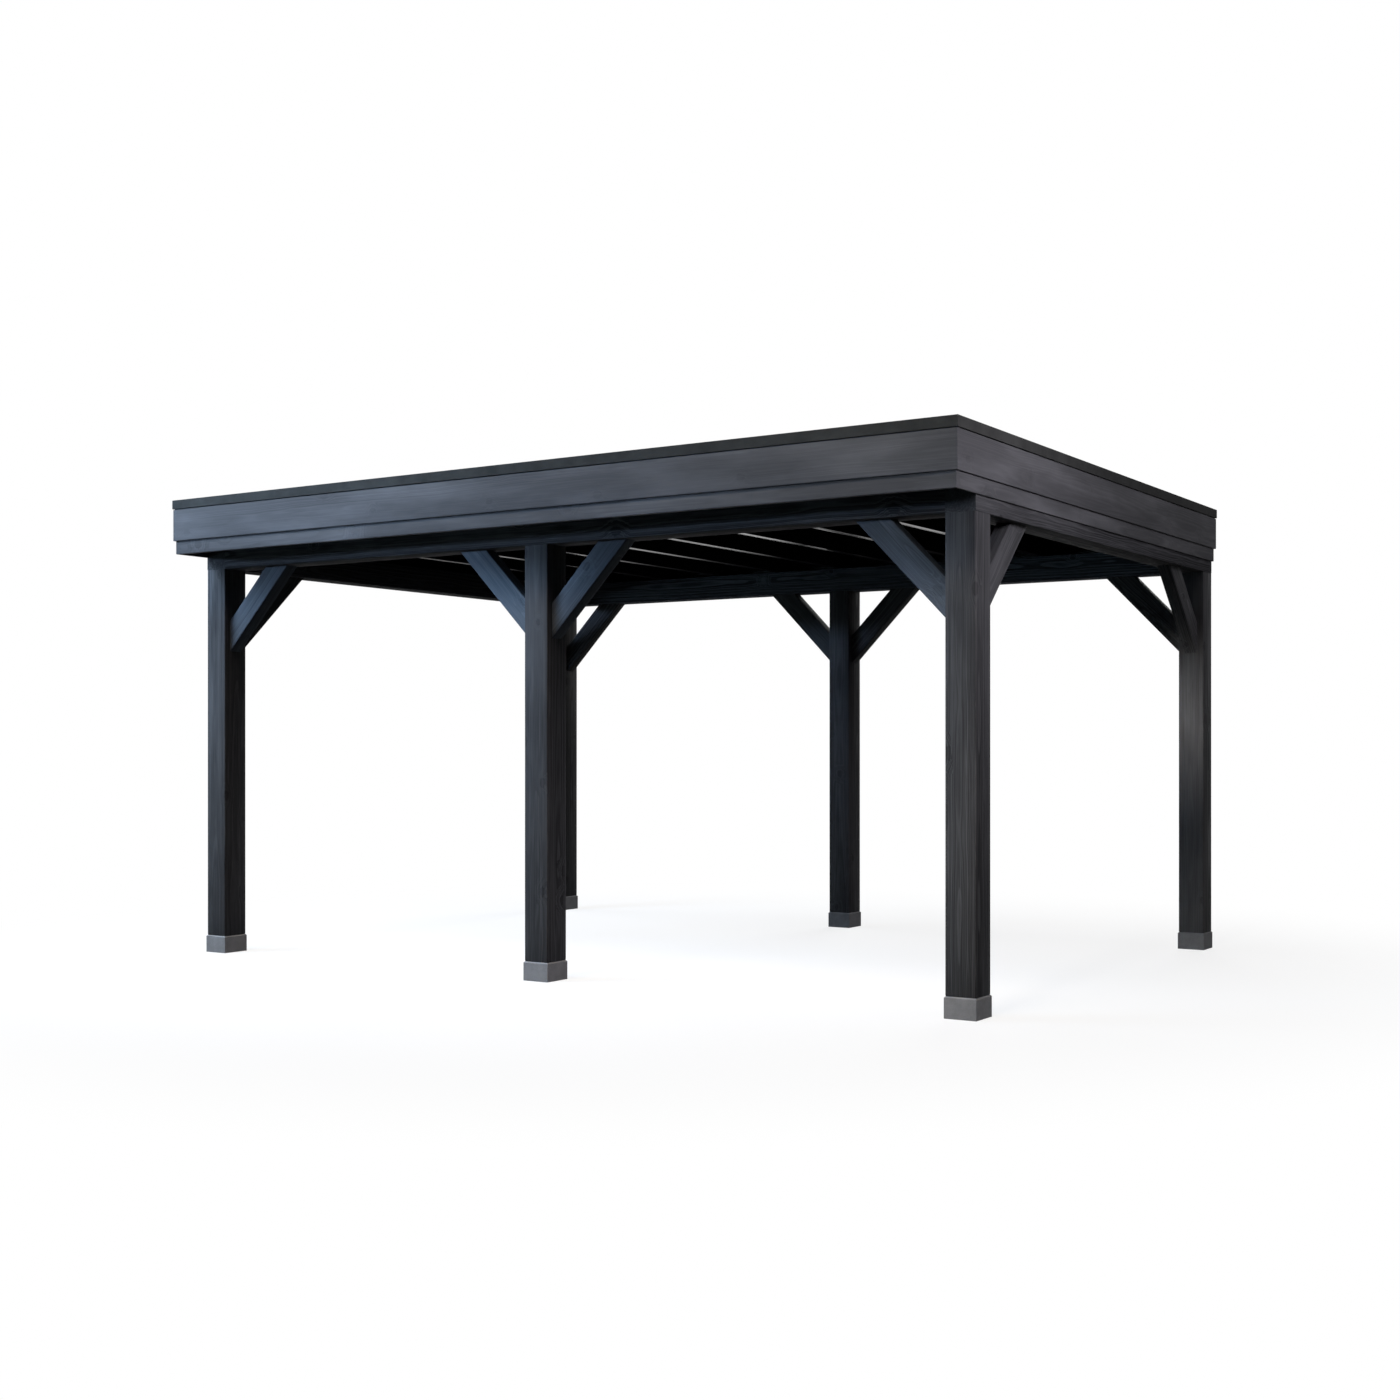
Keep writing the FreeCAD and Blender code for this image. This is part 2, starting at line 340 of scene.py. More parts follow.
def stained_timber(name, colour, timber, gloss=0.01, roughness=0.55, contrast=1.0, worn_underside=0.0):
    """Planed softwood under a thin dark stain, with rings, fibres, knots, small wear and painted highlights
    along the arrises.

    Each piece's mesh holds where its surface lies in its tree: "grain" is the place
    across and along the trunk, and the UV map runs round the piece and along it.
    """
    n = Nodes(bpy.data.materials.new(name))
    grain = n.add("Attribute", attribute_name="grain").outputs["Vector"]
    arris = n.add("Attribute", attribute_name="arris").outputs["Fac"]
    face = n.add("UVMap", uv_map="face").outputs[0]
    knot, rim, swirl = knot_masks(n, face, timber.knot_gap)
    late_wood, bands = growth_rings(n, grain, swirl, timber.ring_gap)
    fibre = n.grain_noise(grain, 420.0, 7.0, 3.0, 0.6)
    streak = n.grain_noise(grain, 150.0, 1.3, 2.0, 0.6)
    patch = n.grain_noise(grain, 7.0, 1.6, 3.0)

    # Latewood, years, fibres, streaks and knots each darken or lighten the stain
    figure = n.range(n.grain_noise(grain, 5.0, 0.4, 1.0), 0.38, 0.62, 0.4, 1.5)
    figure = n.math("MULTIPLY", figure, contrast)
    tone = n.total(
        n.math("MULTIPLY", n.math("SUBTRACT", late_wood, 0.35), n.math("MULTIPLY", figure, 0.24)),
        n.math("MULTIPLY", bands, n.math("MULTIPLY", figure, 0.10)),
        n.range(streak, 0.3, 0.7, -0.10 * contrast, 0.10 * contrast),
        n.range(fibre, 0.3, 0.7, -0.10 * contrast, 0.10 * contrast),
        n.range(patch, 0.3, 0.7, -0.025, 0.025),
        n.math("MULTIPLY", pale_threads(n, grain), 0.30 * contrast),
        # Arrises paler in patches: partly worn stain, partly a painted highlight on the rounded edges
        n.math("MULTIPLY", arris, n.range(patch, 0.45, 0.7, 0.0, 0.4)),
        n.math("MULTIPLY", knot, -0.16 * contrast),
        n.math("MULTIPLY", rim, -0.16 * contrast),
    )
    base = n.colours(n.math("ADD", tone, 0.41, clamp=True), opaque(colour, 0.55), opaque(colour, 1.6))
    n.feed(n.shader.inputs["Base Color"], base)

    # Latewood takes less stain and is a little smoother
    rough = n.range(late_wood, 0.0, 1.0, roughness + 0.06, roughness - 0.06)
    n.feed(n.shader.inputs["Roughness"], n.total(rough, n.range(patch, 0.3, 0.7, 0.05, -0.05)))
    n.shader.inputs["Specular IOR Level"].default_value = gloss
    if worn_underside:
        sheen = n.total(planed_sheen(n, worn_underside), gloss)
        n.feed(n.shader.inputs["Specular IOR Level"], sheen)

    height = n.total(
        n.math("MULTIPLY", late_wood, 0.5),
        n.math("MULTIPLY", fibre, 0.6),
        n.math("MULTIPLY", bands, 0.5 * contrast),
        n.math("MULTIPLY", rim, -0.9),
    )
    grooves = n.bump(height, 0.00035, 0.8)
    n.feed(n.shader.inputs["Normal"], n.bump(patch, 0.002, 0.15, below=grooves))
    return n.owner


def coated_metal(name, colour):
    """Powder-coated sheet: a fine orange-peel skin with faint dust."""
    n = Nodes(bpy.data.materials.new(name))
    place = n.add("TexCoord").outputs["Object"]
    dust = n.noise(place, 6.0, 4.0, 0.6)
    peel = n.noise(place, 900.0, 2.0)
    base = n.colours(n.range(dust, 0.35, 0.7), opaque(colour, 0.85), opaque(colour, 1.3))
    n.feed(n.shader.inputs["Base Color"], base)
    n.feed(n.shader.inputs["Roughness"], n.range(dust, 0.3, 0.7, 0.38, 0.52))
    n.shader.inputs["Specular IOR Level"].default_value = 0.002
    n.feed(n.shader.inputs["Normal"], n.bump(peel, 0.0001, 0.4))
    return n.owner


def mineral_felt(name, colour):
    """Bitumen felt with a coat of mineral grains."""
    n = Nodes(bpy.data.materials.new(name))
    place = n.add("TexCoord").outputs["Object"]
    grains = n.add("TexVoronoi", {"Vector": place, "Scale": 620.0})
    shade = n.add("SeparateColor", {0: grains.outputs["Color"]}).outputs[0]
    weather = n.noise(place, 1.6, 4.0, 0.6)
    tone = n.math("ADD", n.math("MULTIPLY", shade, 0.55), n.range(weather, 0.3, 0.7, -0.1, 0.4), clamp=True)
    n.feed(n.shader.inputs["Base Color"], n.colours(tone, opaque(colour, 0.55), opaque(colour, 2.0)))
    n.shader.inputs["Roughness"].default_value = 0.85
    n.shader.inputs["Specular IOR Level"].default_value = 0.25
    n.feed(n.shader.inputs["Normal"], n.bump(grains.outputs["Distance"], 0.0008, 0.8))
    return n.owner


def cast_concrete(name, colour):
    """Smooth precast concrete with fine pores and slight clouding."""
    n = Nodes(bpy.data.materials.new(name))
    place = n.add("TexCoord").outputs["Object"]
    cloud = n.noise(place, 14.0, 5.0, 0.6)
    sand = n.noise(place, 420.0, 3.0, 0.65)
    pores = n.add("TexVoronoi", {"Vector": place, "Scale": 130.0})
    deep = n.range(pores.outputs["Distance"], 0.0, 0.22, 1.0, 0.0, smooth=True)
    some = n.range(n.noise(place, 40.0), 0.5, 0.62)
    pit = n.math("MULTIPLY", deep, some)
    tone = n.math("ADD", n.range(cloud, 0.3, 0.7, 0.25, 0.75), n.range(sand, 0.3, 0.7, -0.22, 0.22))
    tone = n.math("SUBTRACT", tone, n.math("MULTIPLY", pit, 0.5), clamp=True)
    n.feed(n.shader.inputs["Base Color"], n.colours(tone, opaque(colour, 0.72), opaque(colour, 1.28)))
    n.shader.inputs["Roughness"].default_value = 0.82
    n.shader.inputs["Specular IOR Level"].default_value = 0.3
    height = n.math("SUBTRACT", n.math("MULTIPLY", sand, 0.5), pit)
    n.feed(n.shader.inputs["Normal"], n.bump(height, 0.0007, 0.8))
    return n.owner


def material(name, make, *values, **settings):
    """The material of that name, made once, so that an operator can run again."""
    return bpy.data.materials.get(name) or make(name, *values, **settings)


def sharp_outline(corners):
    """A section's outline with its corners left as they are."""
    return [(Vector(corner), False) for corner in corners]


def rounded_outline(corners, radius, steps=3):
    """A section's outline with its corners rounded: its points, each marked as on an arris."""
    outline = []
    count = len(corners)
    for i, (x, y) in enumerate(corners):
        corner = Vector((x, y))
        to_last = (Vector(corners[i - 1]) - corner).normalized()
        to_next = (Vector(corners[(i + 1) % count]) - corner).normalized()
        half_angle = to_last.angle(to_next) / 2
        centre = corner + (to_last + to_next).normalized() * radius / math.sin(half_angle)
        spoke = corner + to_last * radius / math.tan(half_angle) - centre
        turn = spoke.angle_signed(corner + to_next * radius / math.tan(half_angle) - centre)
        for step in range(steps + 1):
            spin = Matrix.Rotation(-turn * step / steps, 2)
            outline.append((centre + spin @ spoke, True))
    return outline


def bar_object(name, rings, section, grain_offset, arris_flags):
    """A closed bar from rings of points and their lengths, with its grain, arris and UV data."""
    mesh = bmesh.new()
    grain = mesh.verts.layers.float_vector.new("grain")
    arris = mesh.verts.layers.float.new("arris")
    face_map = mesh.loops.layers.uv.new("face")
    count = len(section)
    round_about = [0.0]
    for i in range(count):
        step = (Vector(section[(i + 1) % count]) - Vector(section[i])).length
        round_about.append(round_about[-1] + step)
    rows = []
    for points, lengths in rings:
        row = []
        for i, (point, length) in enumerate(zip(points, lengths)):
            vertex = mesh.verts.new(point)
            vertex[grain] = Vector((*section[i], length)) + grain_offset
            vertex[arris] = 1.0 if arris_flags[i] else 0.0
            row.append(vertex)
        rows.append(row)
    for j in range(len(rows) - 1):
        for i in range(count):
            k = (i + 1) % count
            face = mesh.faces.new((rows[j][i], rows[j][k], rows[j + 1][k], rows[j + 1][i]))
            face.smooth = True
            for loop, (u, v) in zip(face.loops, ((i, 0), (i + 1, 0), (i + 1, 1), (i, 1))):
                along = rings[j + v][1][u % count]
                loop[face_map].uv = (round_about[u] + grain_offset.z * 3, along + grain_offset.z)
    for row, turn in ((rows[0], -1), (rows[-1], 1)):
        cap = mesh.faces.new(row[::turn])
        for loop in cap.loops:
            here = loop.vert[grain]
            loop[face_map].uv = (here.x + END_SHIFT, here.y + END_SHIFT)
    bmesh.ops.recalc_face_normals(mesh, faces=mesh.faces)
    data = bpy.data.meshes.new(name)
    mesh.to_mesh(data)
    mesh.free()
    data.set_sharp_from_angle(angle=math.radians(50))
    piece = bpy.data.objects.new(name, data)
    bpy.context.scene.collection.objects.link(piece)
    return piece


def milled_bar(name, outline, origin, across, rise, along, start_cut, finish_cut,
               off_heart=0.0, ease=0.0, station_gap=0.12, unevenness=0.0):
    """A bar with a section outline, run along an axis between two saw cuts.

    A cut is a point and a normal. off_heart is how far the section's middle lay from the
    tree's heart, ease rounds the edges of the starting end, and unevenness is the depth of
    the shallow dips along the bar.
    """
    draw = random.Random(name)
    section = [point for point, _ in outline]
    flags = [flag for _, flag in outline]
    middle = sum(section, Vector((0, 0))) / len(section)
    heart = Vector((off_heart * draw.uniform(0.8, 1.4), 0.0))
    heart += Vector((draw.uniform(-0.03, 0.03), draw.uniform(-0.04, 0.04)))
    grain_offset = Vector((*(heart - middle), draw.uniform(0, 50)))
    bases = [origin + across * point.x + rise * point.y for point in section]
    starts, finishes = [], []
    for base in bases:
        for (place, normal), store in ((start_cut, starts), (finish_cut, finishes)):
            store.append((place - base).dot(normal) / along.dot(normal))
    length = max(finishes) - min(starts)
    stations = max(1, round(length / station_gap))
    fractions = [i / stations for i in range(stations + 1)]
    insets = [0.0] * len(fractions)
    if ease:
        quarter_turn = [math.radians(angle) for angle in (0, 30, 60, 90)]
        fractions = [ease * (1 - math.cos(angle)) / length for angle in quarter_turn] + fractions[1:]
        insets = [ease * (1 - math.sin(angle)) for angle in quarter_turn] + insets[1:]
    rings = []
    for fraction, inset in zip(fractions, insets):
        points, lengths = [], []
        for i, point in enumerate(section):
            length_here = starts[i] + (finishes[i] - starts[i]) * fraction
            pull = Vector((math.copysign(inset, point.x), math.copysign(inset, point.y)))
            if unevenness and 0 < fraction < 1:
                sway = Vector((point.x * 9, point.y * 9, length_here * 1.7)) + grain_offset
                dip = unevenness * (0.5 + 0.5 * noise.noise(sway))
                pull += point.normalized() * dip
            shift = across * -pull.x + rise * -pull.y
            points.append(bases[i] + shift + along * length_here)
            lengths.append(length_here)
        rings.append((points, lengths))
    return bar_object(name, rings, section, grain_offset, flags)


def rectangle(half_width, half_height):
    """The corners of a rectangle about the middle."""
    return [
        (-half_width, -half_height), (half_width, -half_height),
        (half_width, half_height), (-half_width, half_height),
    ]


def box_bar(name, low, high, run, radius, **settings):
    """A rounded bar that fills a box and runs along one axis."""
    across, rise, along = {"x": (Y, Z, X), "y": (Z, X, Y), "z": (X, Y, Z)}[run]
    half = (high - low) / 2
    outline = rounded_outline(rectangle(half.dot(across), half.dot(rise)), radius)
    cuts = (low, along), (high, along)
    return milled_bar(name, outline, (low + high) / 2, across, rise, along, *cuts, **settings)


def dress(piece, node, finish):
    """Gives a piece its finish and lets it stand for its node."""
    piece.data.materials.clear()
    piece.data.materials.append(finish)
    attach(piece, "root")
    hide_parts(node)


def join(name, pieces):
    """Several meshes as one piece."""
    with bpy.context.temp_override(active_object=pieces[0], selected_editable_objects=pieces):
        bpy.ops.object.join()
    pieces[0].name = name
    pieces[0].data.name = name
    return pieces[0]


class CANOPY_OT_posts(Operator):
    """Make the six square posts"""

    bl_idname = "canopy.posts"
    bl_label = "Posts"

    def execute(self, context):
        timber = context.scene.canopy_timber
        finish = material("post stain", stained_timber, timber.frame_colour, timber, contrast=1.4)
        for node in POSTS:
            low, high = node_box(node)
            piece = box_bar(node + "_timber", low, high, "z", timber.arris_radius,
                            ease=timber.arris_radius, unevenness=0.0006)
            dress(piece, node, finish)
        return {"FINISHED"}


class CANOPY_OT_beams(Operator):
    """Make the beams on the post heads"""

    bl_idname = "canopy.beams"
    bl_label = "Beams"

    def execute(self, context):
        timber = context.scene.canopy_timber
        beam_finish = material("beam stain", stained_timber, timber.frame_colour, timber,
                               gloss=0.001, contrast=2.4)
        # The back beam gets a paler, bluer copy of the frame stain: painted light
        back_painted_light_finish = material("back beam stain", stained_timber, timber.back_beam_painted_light_colour, timber,
                               gloss=0.001, contrast=3.4)
        for node in BEAMS:
            low, high = node_box(node)
            run = "x" if high.x - low.x > high.y - low.y else "y"
            piece = box_bar(node + "_timber", low, high, run, timber.arris_radius, unevenness=0.0006)
            finish = back_painted_light_finish if node == "back_beam" else beam_finish
            dress(piece, node, finish)
        return {"FINISHED"}


class CANOPY_OT_braces(Operator):
    """Make the angle braces, cut upright on the posts and level under the beams"""

    bl_idname = "canopy.braces"
    bl_label = "Angle braces"

    def execute(self, context):
        timber = context.scene.canopy_timber
        # Front braces get a paler, bluer copy of the frame stain, and one brace a paler one still: painted
        # light
        front_painted_light_finish = material("front brace stain", stained_timber, timber.front_brace_painted_light_colour, timber)
        brighter_lit_finish = material("pale brace stain", stained_timber, timber.brighter_lit_brace_colour, timber)
        other_finish = material("brace stain", stained_timber, timber.frame_colour, timber, contrast=2.2)
        for node in BRACES:
            piece = self.brace(node, timber)
            if node in BRIGHTER_LIT_BRACES:
                finish = brighter_lit_finish
            elif node.startswith("front"):
                finish = front_painted_light_finish
            else:
                finish = other_finish
            dress(piece, node, finish)
        return {"FINISHED"}

    def brace(self, node, timber):
        """One brace between the nearest post and the beam above it."""
        low, high = node_box(node)
        middle = (low + high) / 2
        out = X if high.x - low.x > high.y - low.y else Y
        nearest = min(POSTS, key=lambda post: self.gap(post, middle))
        post_low, post_high = node_box(nearest)
        if (post_low + post_high).dot(out) / 2 > middle.dot(out):
            out = -out
        corner = Vector([low[i] if out[i] >= 0 else high[i] for i in range(3)])
        corner.z = high.z
        run = (out + Z).normalized()
        rise = (Z - out).normalized()
        across = run.cross(rise).normalized()
        width = self.width(node, corner, rise)
        thickness = abs((high - low).dot(across))
        base = corner + Z * (low.z - high.z) + rise * (width / 2)
        base += across * ((middle - base).dot(across))
        outline = rounded_outline(rectangle(thickness / 2, width / 2), timber.arris_radius)
        cuts = (corner, out), (corner, Z)
        return milled_bar(node + "_timber", outline, base, across, rise, run, *cuts,
                          off_heart=0.07, unevenness=0.0004)

    def gap(self, post, place):
        """How far a post's centre line is from a place, seen from above."""
        low, high = node_box(post)
        return ((low + high) / 2 - place).to_2d().length

    def width(self, node, corner, rise):
        """The brace's width, square to its run, from its node's corners."""
        heights = [(vertex.co - corner).dot(rise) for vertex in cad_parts[node].data.vertices]
        return max(heights) - min(heights)


class CANOPY_OT_rafters(Operator):
    """Make the rafters"""

    bl_idname = "canopy.rafters"
    bl_label = "Rafters"

    def execute(self, context):
        timber = context.scene.canopy_timber
        finish = material("rafter stain", stained_timber, timber.roof_colour, timber, gloss=0.0005,
                          roughness=0.22, worn_underside=0.40)
        bars = []
        for number, (low, high) in enumerate(self.rafter_boxes(), 1):
            bar = box_bar(f"rafter_{number}", low, high, "y", timber.board_arris_radius, off_heart=0.05)
            bars.append(bar)
        dress(join("rafters_timber", bars), "rafters", finish)
        return {"FINISHED"}

    def rafter_boxes(self):
        """The box of each rafter, from the node's own corners."""
        low, high = node_box("rafters")
        places = sorted({round(vertex.co.x, 4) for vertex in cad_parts["rafters"].data.vertices})
        for left, right in zip(places[::2], places[1::2]):
            yield Vector((left, low.y, low.z)), Vector((right, high.y, high.z))


class CANOPY_OT_roof_boards(Operator):
    """Lay the grooved roof boards over the rafters"""

    bl_idname = "canopy.roof_boards"
    bl_label = "Roof boards"

    def execute(self, context):
        timber = context.scene.canopy_timber
        roof = context.scene.canopy_roof
        finish = material("roof board stain", stained_timber, timber.roof_colour, timber,
                          gloss=0.0, roughness=0.7)
        low, high = node_box("roof_deck")
        draw = random.Random("roof boards")
        rows = round((high.y - low.y) / roof.board_width)
        width = (high.y - low.y) / rows
        outline = self.board_outline(width, high.z - low.z, roof.board_groove)
        boards = []
        for row in range(rows):
            joint = draw.choice(BOARD_JOINTS)
            for end, left, right in (("left", low.x, joint), ("right", joint, high.x)):
                name = f"roof_board_{row + 1}_{end}"
                origin = Vector((left, low.y + row * width, low.z))
                cuts = (X * (left + BOARD_GAP), X), (X * (right - BOARD_GAP), X)
                board = milled_bar(name, outline, origin, Y, Z, X, *cuts, off_heart=0.05, station_gap=0.6)
                boards.append(board)
        dress(join("roof_boards", boards), "roof_deck", finish)
        return {"FINISHED"}

    def board_outline(self, width, thickness, groove):
        """A board's section, with a chamfer on each lower edge."""
        return sharp_outline([
            (groove, 0), (width - groove, 0), (width - BOARD_GAP, groove),
            (width - BOARD_GAP, thickness), (BOARD_GAP, thickness), (BOARD_GAP, groove),
        ])


class CANOPY_OT_roof_felt(Operator):
    """Lay the felt in lapped strips, turned up against the fascia boards"""

    bl_idname = "canopy.roof_felt"
    bl_label = "Roof felt"

    def execute(self, context):
        roof = context.scene.canopy_roof
        finish = material("mineral felt", mineral_felt, roof.felt_colour)
        low, high = node_box("roof_felt")
        inset = X * roof.felt_thickness
        outline = sharp_outline(self.sheet_corners(high - low, roof))
        cuts = (low + inset, X), (high - inset, X)
        sheets = [milled_bar("felt_strips", outline, low, Y, Z, X, *cuts, station_gap=0.8)]
        outline = sharp_outline(self.upstand_corners(high.z - low.z, roof.felt_thickness))
        right_end = Vector((high.x, low.y, low.z)) - inset
        for side, start in (("left", low), ("right", right_end)):
            name = f"felt_{side}_upstand"
            sheets.append(milled_bar(name, outline, start, X, Z, Y, (low, Y), (high, Y), station_gap=0.8))
        dress(join("roof_felt_strips", sheets), "roof_felt", finish)
        return {"FINISHED"}

    def upstand_corners(self, height, thickness):
        """The section of the felt that stands up at the left and right ends."""
        return [(0, 0), (thickness, 0), (thickness, height), (0, height)]

    def sheet_corners(self, size, roof):
        """The strips' section from front to back: upstands at the ends, a step at each lap."""
        thickness = roof.felt_thickness
        strips = round(size.y / roof.felt_strip)
        corners = [(size.y, 0), (size.y, size.z)]
        corners += [(size.y - thickness, size.z), (size.y - thickness, thickness)]
        for lap in range(strips - 1, 0, -1):
            edge = lap * size.y / strips
            corners.append((edge + FELT_LAP, thickness))
            corners.append((edge + FELT_LAP - FELT_DIP, thickness + FELT_STEP))
            corners.append((edge + FELT_EDGE, thickness + FELT_STEP))
            corners.append((edge, thickness))
        return corners + [(thickness, thickness), (thickness, size.z), (0, size.z), (0, 0)]


class CANOPY_OT_fascia(Operator):
    """Make the stepped, mitred fascia boards"""

    bl_idname = "canopy.fascia"
    bl_label = "Fascia boards"

    def execute(self, context):
        timber = context.scene.canopy_timber
        finish = material("fascia stain", stained_timber, timber.fascia_colour, timber, contrast=0.5)
        for side in SIDES:
            for board in ("upper", "lower"):
                node = f"{side}_{board}_fascia"
                piece = self.board(node, side, timber)
                dress(piece, node, finish)
        return {"FINISHED"}

    def board(self, node, side, timber):
        """A board with the section of its node, between two mitre cuts."""
        outward = {"front": -Y, "right": X, "back": Y, "left": -X}[side]
        along = Z.cross(outward)
        low, high = node_box(node)
        face = max(low.dot(outward), high.dot(outward))
        corners = self.section(node, outward, along, face)
        outline = rounded_outline(corners, timber.board_arris_radius, steps=2)
        origin = outward * face
        start_corner, finish_corner = self.mitre_corners(low, high, outward, along, face)
        start = (start_corner, (along + outward).normalized())
        finish = (finish_corner, (along - outward).normalized())
        return milled_bar(node + "_timber", outline, origin, outward, Z, along, start, finish,
                          off_heart=0.08, station_gap=0.25)

    def mitre_corners(self, low, high, outward, along, face):
        """The board's two outer corners, where its mitres start."""
        reach = abs((high - low).dot(along)) / 2
        centre = (low + high).dot(along) / 2
        return [outward * face + along * (centre + turn * reach) for turn in (-1, 1)]

    def section(self, node, outward, along, face):
        """The corners of the node's section, in order round it."""
        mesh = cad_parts[node].data
        finish = max(vertex.co.dot(along) for vertex in mesh.vertices)
        places = []
        for vertex in mesh.vertices:
            depth = vertex.co.dot(outward) - face
            if abs(vertex.co.dot(along) - (finish + depth)) < SAME_PLACE:
                places.append((round(depth, 5), round(vertex.co.z, 5)))
        return self.in_order(mesh, places, outward, along, face, finish)

    def in_order(self, mesh, places, outward, along, face, finish):
        """The section's corners, following the edges of the node's mitred end."""
        corners = sorted(set(places))
        links = {corner: set() for corner in corners}
        for edge in mesh.edges:
            ends = []
            for index in edge.vertices:
                place = mesh.vertices[index].co
                depth = place.dot(outward) - face
                if abs(place.dot(along) - (finish + depth)) < SAME_PLACE:
                    ends.append((round(depth, 5), round(place.z, 5)))
            if len(ends) == 2 and ends[0] != ends[1] and self.is_rim(mesh, edge):
                links[ends[0]].add(ends[1])
                links[ends[1]].add(ends[0])
        path = [corners[0]]
        while len(path) < len(corners):
            path.append(next(c for c in sorted(links[path[-1]]) if c not in path))
        return path

    def is_rim(self, mesh, edge):
        """Whether an edge lies between two faces that turn from each other."""
        pair = set(edge.vertices)
        normals = [face.normal for face in mesh.polygons if pair <= set(face.vertices)]
        return len(normals) < 2 or normals[0].dot(normals[1]) < 0.999


class CANOPY_OT_edge_trim(Operator):
    """Coat the edge trim"""

    bl_idname = "canopy.edge_trim"
    bl_label = "Edge trim"

    def execute(self, context):
        roof = context.scene.canopy_roof
        finish = material("trim coating", coated_metal, roof.trim_colour)
        for side in SIDES:
            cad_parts[f"{side}_edge_trim"].material_slots[0].material = finish
        return {"FINISHED"}


class CANOPY_OT_feet(Operator):
    """Give the feet their concrete"""

    bl_idname = "canopy.feet"
    bl_label = "Concrete feet"

    def execute(self, context):
        foot = context.scene.canopy_foot
        dry_finish = material("cast concrete", cast_concrete, foot.concrete_colour)
        painted_shade_finish = material("damp concrete", cast_concrete, foot.painted_shade_concrete_colour)
        for node in FEET:
            # Painted shade: the back row's feet, under the roof, get the darker concrete
            finish = painted_shade_finish if node.startswith("back") else dry_finish
            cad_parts[node].material_slots[0].material = finish
        return {"FINISHED"}


